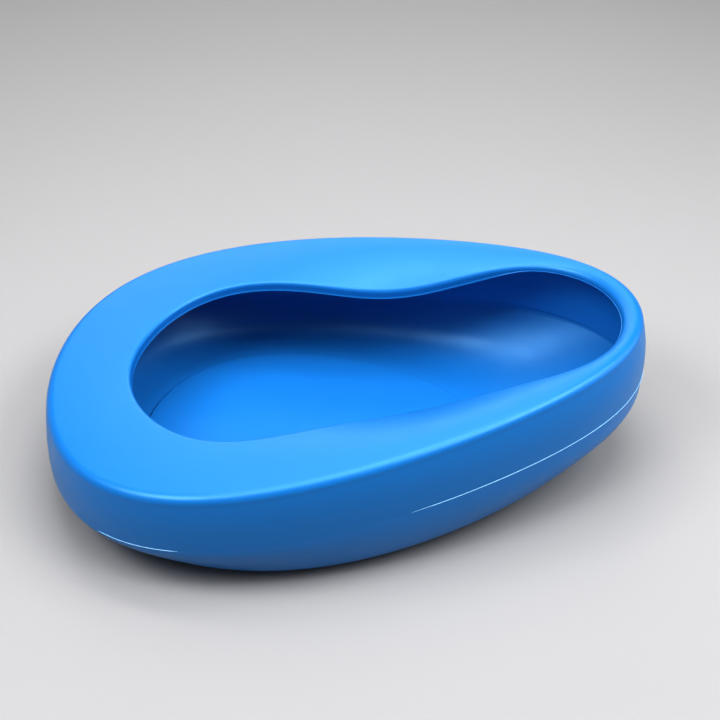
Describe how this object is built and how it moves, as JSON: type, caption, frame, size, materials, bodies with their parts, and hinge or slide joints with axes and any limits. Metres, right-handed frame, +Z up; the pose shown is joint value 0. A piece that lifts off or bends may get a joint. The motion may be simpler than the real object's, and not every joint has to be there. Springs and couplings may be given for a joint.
{
  "type": "bedpan",
  "caption": "Teardrop bedpan in moulded plastic: wide low seat end, narrow raised front, waisted opening with a turned-down lip, deep basin on a flat foot ring.",
  "frame": {"origin": "middle of the bounding box at the underside of the foot ring", "axes": "+X along the length toward the narrow raised front end, +Y to the far side, +Z up"},
  "size_m": [0.42, 0.3, 0.1097],
  "materials": {
    "seat_plastic": "smooth satin moulded polypropylene, mid blue",
    "basin_plastic": "smooth satin moulded polypropylene, mid blue",
    "seam_whitening": "stress-whitened trimmed moulding flash"
  },
  "bodies": {
    "root": {"seat_shell": "seat_plastic", "basin_shell": "basin_plastic", "seam_flash": "seam_whitening"}
  },
  "joints": []
}
